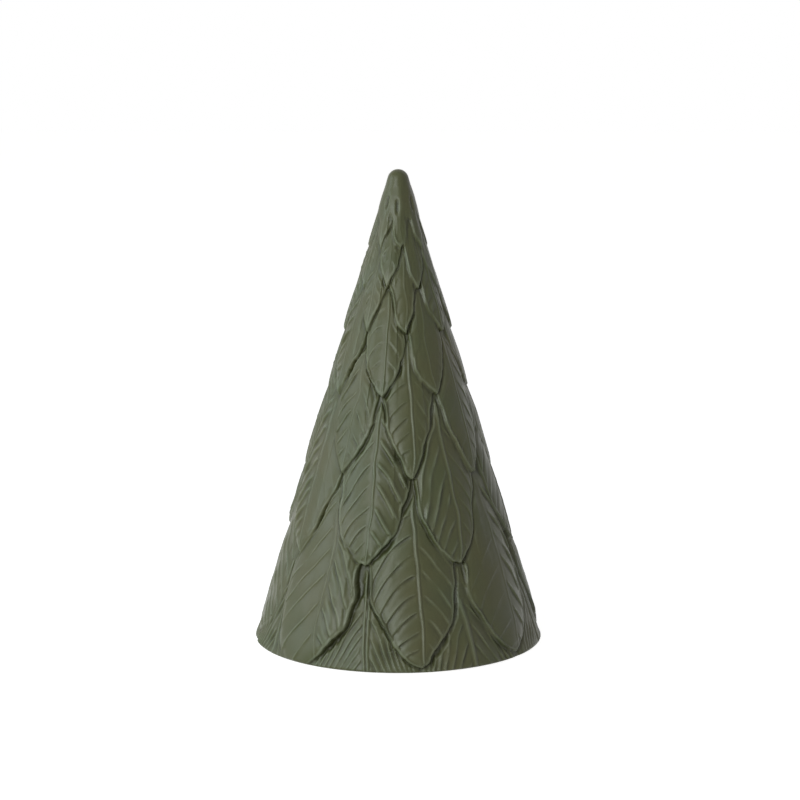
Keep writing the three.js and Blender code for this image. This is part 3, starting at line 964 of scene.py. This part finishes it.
@dataclass
class LeafCone:
    """The casting: the leafy skin, its smooth cap and rounded foot, and the hollow inside, in one shell.

    Attributes:
        relief: the carved skin.
        triangles: about how many triangles the finished mesh keeps.
        edge_rings: rings round the foot's outer edge.
        cap_rings: rings over the ball of the cap.
        sole_radius: where the flat sole begins, inside the rounded outer edge.
        skin_depth: how far inside the plain cone a vertex still belongs to the skin.
        sole_height: height up to which a vertex belongs to the bare sole.
    """

    relief: LeafRelief
    triangles: int = 195_000
    edge_rings: int = 8
    cap_rings: int = 12
    sole_radius: float = 70.0
    skin_depth: float = 3.0
    sole_height: float = 0.02

    def skin_rings(self) -> tuple[Array, Array]:
        """Radius and height of the outer skin on rings from the foot to just under the top.

        The radius is the cone's plus the relief. Near the foot it is held inside the rounded edge, and in
        the cap it follows the ball.

        Returns:
            Arrays of radii (rings, columns) and heights (rings).
        """
        relief = self.relief
        edge = CONE.foot_edge_radius
        corner = np.linspace(0.0, np.pi / 2, self.edge_rings + 1)[:-1]
        edge_z = edge * (1.0 - np.cos(corner))
        side_z = np.arange(edge, CONE.cap_start - relief.row_step / 2, relief.row_step)
        turn = np.linspace(CONE.half_angle, np.pi / 2, self.cap_rings + 1)[:-1]
        cap_z = CONE.cap_centre + CONE.cap_radius * np.sin(turn)
        z = np.concatenate([edge_z, side_z, cap_z])
        ball = np.sqrt(np.maximum(CONE.cap_radius**2 - np.square(z - CONE.cap_centre), 0.0))
        plain = np.where(z > CONE.cap_start - 1e-9, ball, CONE.radius(z))
        step = np.clip(z / relief.row_step, 0, len(relief.z) - 1.001)
        below = step.astype(int)
        share = (step - below)[:, None]
        lift = relief.lift[below] * (1.0 - share) + relief.lift[below + 1] * share
        lift *= np.where(z > relief.z[-1], 0.0, 1.0)[:, None]
        radii = plain[:, None] + lift
        rounding = np.sqrt(np.maximum(edge**2 - np.square(np.maximum(edge - z, 0.0)), 0.0))
        limit = (CONE.foot_edge_reach - edge + rounding)[:, None]
        near_foot = smooth_step((z - 1.0) / 4.0)[:, None]
        softness = 0.25
        held = limit - softness * np.log(np.exp((limit - radii) / softness) + 1.0)
        radii = held * (1.0 - near_foot) + np.minimum(radii, CONE.foot_edge_reach + 3.0) * near_foot
        return radii, z

    def lining_profile(self) -> Array:
        """Points (radius, height) from under the foot's outer edge in, up the hollow and to its top."""
        mouth = CONE.foot_radius - CONE.foot_rim_width
        corner = np.linspace(0, np.pi / 2, 5)
        corner_points = np.stack([mouth + 1.0 - np.sin(corner), 1.0 - np.cos(corner)], -1)
        turn = np.linspace(CONE.half_angle, np.pi / 2, 8)[:-1]
        ball = CONE.hollow_top_radius * np.stack([np.cos(turn), np.sin(turn)], -1)
        ball = ball + [0, CONE.hollow_ball_z]
        walls = np.linspace(2 * CONE.foot_rim_height, ball[0, 1], 24)[:-1]
        wall_points = np.stack([(CONE.inner_length - walls) * np.tan(CONE.half_angle), walls], -1)
        rim = [[mouth, CONE.foot_rim_height]]
        return np.concatenate([[[self.sole_radius, 0.0]], corner_points, rim, wall_points, ball])

    def grid(self) -> tuple[Array, int]:
        """All rings of the shell, from the top of the hollow down, round the foot and up to the cap.

        Returns:
            Positions (rings, columns, 3) in millimetres, and the number of the first ring of the skin.
        """
        radii, z = self.skin_rings()
        lining = self.lining_profile()[::-1]
        columns = self.relief.columns
        all_radii = np.concatenate([np.repeat(lining[:, :1], columns, axis=1), radii])
        all_z = np.concatenate([lining[:, 1], z])
        turn = np.radians(self.relief.angle)[None, :]
        height = np.repeat(all_z[:, None], columns, axis=1)
        points = np.stack([all_radii * np.sin(turn), -all_radii * np.cos(turn), height], -1)
        return points, len(lining)

    def skin_normals(self, points: Array, first: int) -> Array:
        """Normals of the skin from the differences between neighbouring grid points.

        Args:
            points: the grid.
            first: the first ring of the skin.

        Returns:
            Unit normals for the skin's rings.
        """
        skin = points[first:]
        to_the_right = np.roll(skin, -1, axis=1) - np.roll(skin, 1, axis=1)
        upwards = np.gradient(skin, axis=0)
        normals = np.cross(to_the_right, upwards)
        return normals / np.linalg.norm(normals, axis=2, keepdims=True)

    def build(self) -> bpy.types.Object:
        """Makes the shell from the grid, thins it where it is flat, and sets the skin's exact normals.

        Returns:
            The finished piece.
        """
        points, first = self.grid()
        rings, columns = points.shape[:2]
        poles = np.array([[0, 0, CONE.hollow_ball_z + CONE.hollow_top_radius], [0, 0, CONE.height]])
        vertices = (np.concatenate([points.reshape(-1, 3), poles]) + [0, 0, CONE.foot_z]) * METRES_PER_MM
        around = np.arange(columns)
        along = (around + 1) % columns
        ring_starts = np.arange(rings - 1)[:, None] * columns
        here = ring_starts + around
        beside = ring_starts + along
        lower = np.stack([here, beside, beside + columns], -1).reshape(-1, 3)
        upper = np.stack([here, beside + columns, here + columns], -1).reshape(-1, 3)
        bottom_fan = np.stack([np.full(columns, rings * columns), along, around], -1)
        last = (rings - 1) * columns
        top_fan = np.stack([around + last, along + last, np.full(columns, rings * columns + 1)], -1)
        faces = np.concatenate([lower, upper, bottom_fan, top_fan])
        full = mesh_from("leaf_cone_full", vertices, faces)
        piece = add_object("leaf_cone_glazed", full)
        thin = piece.modifiers.new("thin", "DECIMATE")
        thin.ratio = self.triangles / len(faces)
        seen = piece.evaluated_get(bpy.context.evaluated_depsgraph_get())
        thinned = bpy.data.meshes.new_from_object(seen)
        piece.modifiers.clear()
        piece.data = thinned
        bpy.data.meshes.remove(full)
        self.finish_surface(piece.data, points, first)
        return piece

    def finish_surface(self, mesh: bpy.types.Mesh, points: Array, first: int) -> None:
        """Gives the thinned mesh the grid's own normals and the glaze's thickness, whose thin crests the
        material paints lighter, partly as a painted highlight.

        Args:
            mesh: the thinned mesh, in metres.
            points: the grid it was made from, in millimetres.
            first: the first ring of the skin.
        """
        places = read_vectors(mesh.vertices, "co") / METRES_PER_MM
        places[:, 2] -= CONE.foot_z
        radius = np.hypot(places[:, 0], places[:, 1])
        ring_z = points[first:, 0, 2]
        normals = self.skin_normals(points, first)
        ring = np.interp(places[:, 2], ring_z, np.arange(len(ring_z)))
        column = (np.degrees(np.arctan2(places[:, 0], -places[:, 1])) + 180.0) * len(normals[0]) / 360.0
        sampled = between(normals, ring, column)
        cap = places - [0, 0, CONE.cap_centre]
        in_cap = places[:, 2] > CONE.cap_start
        sampled[in_cap] = cap[in_cap]
        sampled /= np.linalg.norm(sampled, axis=1, keepdims=True)
        outer = (radius > CONE.radius(places[:, 2]) - self.skin_depth) & (places[:, 2] > self.sole_height)
        own = read_vectors(mesh.vertices, "normal")
        mesh.shade_smooth()
        mesh.normals_split_custom_set_from_vertices(np.where(outer[:, None], sampled, own))
        row = np.clip(places[:, 2] / self.relief.row_step, 0, len(self.relief.z) - 1.001)
        pooling = between(self.relief.pooling[..., None], row, column)[:, 0]
        set_point_value(mesh, "pooling", np.where(outer, pooling, 0.0))
        set_point_value(mesh, "bare", np.where(outer, 0.0, 1.0))


def mesh_from(name: str, vertices: Array, faces: Array) -> bpy.types.Mesh:
    """A mesh of triangles from arrays of positions and corner numbers."""
    mesh = bpy.data.meshes.new(name)
    mesh.vertices.add(len(vertices))
    mesh.vertices.foreach_set("co", vertices.astype(np.float32).ravel())
    mesh.loops.add(faces.size)
    mesh.loops.foreach_set("vertex_index", faces.astype(np.int32).ravel())
    mesh.polygons.add(len(faces))
    mesh.polygons.foreach_set("loop_start", np.arange(0, faces.size, 3, dtype=np.int32))
    mesh.update(calc_edges=True)
    mesh.validate()
    return mesh


def add_object(name: str, data: bpy.types.ID) -> bpy.types.Object:
    """A new object in the scene."""
    made = bpy.data.objects.new(name, data)
    bpy.context.scene.collection.objects.link(made)
    return made


def add_facing(name: str, data: bpy.types.ID, place: Vector, aim: Vector) -> bpy.types.Object:
    """A new camera or lamp at a place, turned to a point, both in metres."""
    made = add_object(name, data)
    made.location = place
    made.rotation_mode = "QUATERNION"
    made.rotation_quaternion = (aim - place).to_track_quat("-Z", "Y")
    return made


def read_vectors(items: bpy.types.bpy_prop_collection, name: str) -> Array:
    """One three-number property of all items as an array (items, 3)."""
    values = np.empty(len(items) * 3, np.float32)
    items.foreach_get(name, values)
    return values.reshape(-1, 3).astype(float)


def set_point_value(mesh: bpy.types.Mesh, name: str, values: Array) -> None:
    """Keeps one number for each vertex under a name that materials can read."""
    attribute = mesh.attributes.new(name, "FLOAT", "POINT")
    attribute.data.foreach_set("value", values.astype(np.float32))


def between(values: Array, row: Array, column: Array) -> Array:
    """Values between grid points, by the shares of the four around each; columns close up.

    Args:
        values: values on the grid (rows, columns, parts).
        row: fractional row numbers.
        column: fractional column numbers.

    Returns:
        One value for each place (places, parts).
    """
    rows, columns = values.shape[:2]
    low = np.clip(row.astype(int), 0, rows - 2)
    start = np.floor(column).astype(int)
    up = (row - low)[:, None]
    along = (column - start)[:, None]
    start = start % columns
    end = (start + 1) % columns
    lower = values[low, start] * (1 - along) + values[low, end] * along
    upper = values[low + 1, start] * (1 - along) + values[low + 1, end] * along
    return lower * (1 - up) + upper * up


class NodeBench:
    """Adds and joins the nodes of one material or world."""

    def __init__(self, material: bpy.types.Material | bpy.types.World) -> None:
        """Empties the node tree.

        Args:
            material: the material or world to build.
        """
        material.use_nodes = True
        self.tree = material.node_tree
        self.tree.nodes.clear()

    def add(self, kind: str, links: dict | None = None, **settings: object) -> bpy.types.Node:
        """Adds a node.

        Args:
            kind: the node's type name without its prefix.
            links: what goes into its sockets, by socket name or number: a value or another socket.
            settings: the node's own settings.

        Returns:
            The node.
        """
        node = self.tree.nodes.new(f"ShaderNode{kind}")
        for name, value in settings.items():
            setattr(node, name, value)
        for name, value in (links or {}).items():
            socket = node.inputs[name]
            if isinstance(value, Socket):
                self.tree.links.new(value, socket)
            else:
                socket.default_value = value
        return node

    def ramp(
        self, value: Socket, low: float, high: float, low_to: float = 0.0, high_to: float = 1.0
    ) -> Socket:
        """A value moved from one range to another and held inside it."""
        links = {"Value": value, "From Min": low, "From Max": high, "To Min": low_to, "To Max": high_to}
        return self.add("MapRange", links).outputs["Result"]

    def blend(self, share: object, a: object, b: object, way: str = "MIX") -> Socket:
        """Two colours mixed in the given way."""
        return self.add("Mix", {0: share, 6: a, 7: b}, data_type="RGBA", blend_type=way).outputs[2]

    def surface(self, bumps: Socket, strength: float, depth: float, links: dict) -> None:
        """Ends a material with its surface, which has fine bumps.

        Args:
            bumps: how high the surface stands, from 0 to 1.
            strength: how clearly the bumps show.
            depth: how high they are, in metres.
            links: what else goes into the surface's sockets.
        """
        fine = self.add("Bump", {"Height": bumps, "Strength": strength, "Distance": depth})
        shader = self.add("BsdfPrincipled", {**links, "Normal": fine.outputs["Normal"]})
        self.add("OutputMaterial", {"Surface": shader.outputs["BSDF"]})

    def seen_as_white(self) -> Socket:
        """One for rays that the camera, gloss or glass sends out, and zero for the others."""
        rays = self.add("LightPath").outputs
        seen = rays["Is Camera Ray"]
        for kind in ("Is Glossy Ray", "Is Transmission Ray"):
            seen = self.add("Math", {0: seen, 1: rays[kind]}, operation="MAXIMUM").outputs[0]
        return seen

    def noise(self, scale: float, detail: float, roughness: float = 0.5) -> Socket:
        """Smooth chance on the object's own coordinates; scale counts its cells in a metre."""
        place = self.add("TexCoord").outputs["Object"]
        links = {"Vector": place, "Scale": scale, "Detail": detail, "Roughness": roughness}
        return self.add("TexNoise", links).outputs["Fac"]


def clothe(piece: bpy.types.Object, material: bpy.types.Material) -> None:
    """Gives a piece one material, in place of any it has."""
    piece.data.materials.clear()
    piece.data.materials.append(material)


def shade(red: int, green: int, blue: int) -> Colour:
    """A colour written as three display values from 0 to 255, as the linear values nodes take."""
    display = np.array([red, green, blue]) / 255.0
    linear = np.where(display <= 0.04045, display / 12.92, ((display + 0.055) / 1.055) ** 2.4)
    return (*linear.tolist(), 1.0)


@dataclass(frozen=True)
class OliveGlaze:
    """A matt olive glaze, thin, warmer and lighter on the crests, where the lightness is partly a painted
    highlight, dark where it pools, over pale clay.
    """

    body: Colour = shade(88, 90, 58)
    # Partly a painted highlight: the crests' lighter colour also stands in for glints on the ridges
    crest_break_and_painted_highlight: Colour = shade(115, 119, 93)
    pool: Colour = shade(66, 68, 42)
    clay: Colour = shade(196, 186, 168)
    cool_cloud: Colour = shade(238, 244, 238)
    warm_cloud: Colour = shade(255, 247, 240)
    refraction: float = 1.4
    roughness_low: float = 0.33
    roughness_high: float = 0.43

    def make(self) -> bpy.types.Material:
        """Builds the material."""
        material = bpy.data.materials.new("olive_glaze")
        bench = NodeBench(material)
        pooling = bench.add("Attribute", attribute_name="pooling").outputs["Fac"]
        bare = bench.add("Attribute", attribute_name="bare").outputs["Fac"]
        clouds = bench.noise(scale=38.0, detail=3.0, roughness=0.55)
        grain = bench.noise(scale=900.0, detail=2.0, roughness=0.6)
        patches = bench.noise(scale=60.0, detail=2.0)
        # Crests painted lighter: partly the thin glaze, partly a painted highlight for the glints on the
        # ridges
        thin = bench.ramp(pooling, -0.1, -0.7)
        thick = bench.ramp(pooling, 0.1, 0.9)
        colour = bench.blend(thin, self.body, self.crest_break_and_painted_highlight)
        colour = bench.blend(thick, colour, self.pool)
        cloudy = bench.blend(bench.ramp(clouds, 0.35, 0.7), self.cool_cloud, self.warm_cloud)
        colour = bench.blend(1.0, colour, cloudy, "MULTIPLY")
        colour = bench.blend(bare, colour, self.clay)
        roughness = bench.ramp(patches, 0.3, 0.7, self.roughness_low, self.roughness_high)
        links = {"Base Color": colour, "Roughness": roughness, "IOR": self.refraction}
        bench.surface(grain, strength=0.12, depth=0.0002, links=links)
        return material


@dataclass(frozen=True)
class PadFelt:
    """Pressed wool felt, dark grey, with a soft nap."""

    wool: Colour = shade(58, 58, 54)
    lint: Colour = shade(84, 83, 76)

    def make(self) -> bpy.types.Material:
        """Builds the material."""
        material = bpy.data.materials.new("pad_felt")
        bench = NodeBench(material)
        fibres = bench.noise(scale=5200.0, detail=4.0, roughness=0.75)
        tufts = bench.noise(scale=900.0, detail=3.0, roughness=0.6)
        colour = bench.blend(bench.ramp(fibres, 0.35, 0.7), self.wool, self.lint)
        links = {"Base Color": colour, "Roughness": 0.95, "Sheen Weight": 0.25}
        bench.surface(tufts, strength=0.6, depth=0.0003, links=links)
        return material


class Backdrop(Enum):
    """What isn't part of the object."""

    FLOOR = "studio_floor"
    ROOM = "studio_room"


@dataclass
class Studio:
    """The white floor, the room's light and the camera. Its places and widths are in metres.

    Attributes:
        camera_place: where the camera stands.
        aim: the point that it looks at.
        focal_length: its lens, in millimetres.
        sensor_width: its sensor, in millimetres.
        lamp_aim: the point that the lamps face.
        floor_reach: how far the floor reaches to each side.
        paper: the floor's colour.
        glow: how bright the floor is by itself where it has to look white.
    """

    camera_place: Vector = field(default_factory=lambda: Vector((0.00096, -1.0, 0.26775)))
    aim: Vector = field(default_factory=lambda: Vector((0.00096, 0.0, 0.1241)))
    focal_length: float = 89.107
    sensor_width: float = 36.0
    lamp_aim: Vector = field(default_factory=lambda: Vector((0, 0, 0.11)))
    floor_reach: float = 30.0
    paper: Colour = shade(212, 212, 212)
    glow: float = 0.94

    def place_camera(self) -> None:
        """Sets the camera where the photograph was taken from."""
        data = bpy.data.cameras.new("camera")
        data.lens = self.focal_length
        data.sensor_width = self.sensor_width
        data.clip_start = 0.01
        bpy.context.scene.camera = add_facing("camera", data, self.camera_place, self.aim)

    def lamp(self, name: str, place: Vector, width: float, power: float, colour: Colour) -> None:
        """A square soft light that faces the middle of the tree.

        Args:
            name: the lamp's name.
            place: where it hangs.
            width: its side.
            power: its power, in watts.
            colour: its linear colour.
        """
        data = bpy.data.lights.new(name, "AREA")
        data.size = width
        data.energy = power
        data.color = colour
        add_facing(name, data, place, self.lamp_aim)

    def light(self) -> None:
        """Sets three window lights on the left, and a dim room that looks white where it is seen."""
        self.lamp("side_window", Vector((-1.75, -0.42, 0.66)), 1.2, 12.8, (0.86, 1.0, 1.1))
        self.lamp("front_window", Vector((-1.0, -2.0, 0.95)), 1.15, 24.5, (0.93, 1.0, 1.02))
        self.lamp("rear_window", Vector((-1.5, 1.1, 0.8)), 1.2, 0.9, (0.75, 0.95, 1.4))
        world = bpy.data.worlds.new(Backdrop.ROOM.value)
        bpy.context.scene.world = world
        bench = NodeBench(world)
        room = bench.add("Background", {"Color": (1.0, 0.98, 0.9, 1.0), "Strength": 0.1})
        white = bench.add("Background", {"Color": WHITE, "Strength": 1.0})
        mix = bench.add("MixShader", {0: bench.seen_as_white(), 1: room.outputs[0], 2: white.outputs[0]})
        bench.add("OutputWorld", {"Surface": mix.outputs[0]})

    def lay_floor(self) -> None:
        """Lays a white floor that keeps the tree's shadow and passes into the white behind it."""
        name = Backdrop.FLOOR.value
        corners = np.array([[-1, -1, 0], [1, -1, 0], [1, 1, 0], [-1, 1, 0]]) * self.floor_reach
        floor = add_object(name, mesh_from(name, corners, np.array([[0, 1, 2], [0, 2, 3]])))
        material = bpy.data.materials.new(name)
        bench = NodeBench(material)
        paper = bench.add("BsdfDiffuse", {"Color": self.paper})
        glow = bench.add("Emission", {"Color": WHITE, "Strength": self.glow})
        both = bench.add("AddShader", {0: paper.outputs[0], 1: glow.outputs[0]})
        mix = bench.add("MixShader", {0: bench.seen_as_white(), 1: paper.outputs[0], 2: both.outputs[0]})
        bench.add("OutputMaterial", {"Surface": mix.outputs[0]})
        clothe(floor, material)


def dress_pads(felt: bpy.types.Material) -> None:
    """Gives the CAD's felt pads their felt."""
    for name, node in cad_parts.items():
        if name.startswith("felt_pad"):
            clothe(node, felt)
            LOG.info("dressed %s", name)


def main() -> None:
    """Builds the studio, then the casting and its pads."""
    logging.basicConfig(level=logging.INFO, format="%(message)s")
    bpy.context.scene.view_settings.view_transform = "Standard"
    studio = Studio()
    studio.place_camera()
    studio.light()
    studio.lay_floor()
    piece = LeafCone(LeafRelief()).build()
    clothe(piece, OliveGlaze().make())
    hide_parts("leaf_cone_casting")
    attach(piece, "root")
    LOG.info("built %s with %d triangles", piece.name, len(piece.data.polygons))
    dress_pads(PadFelt().make())


if __name__ == "__main__":
    main()
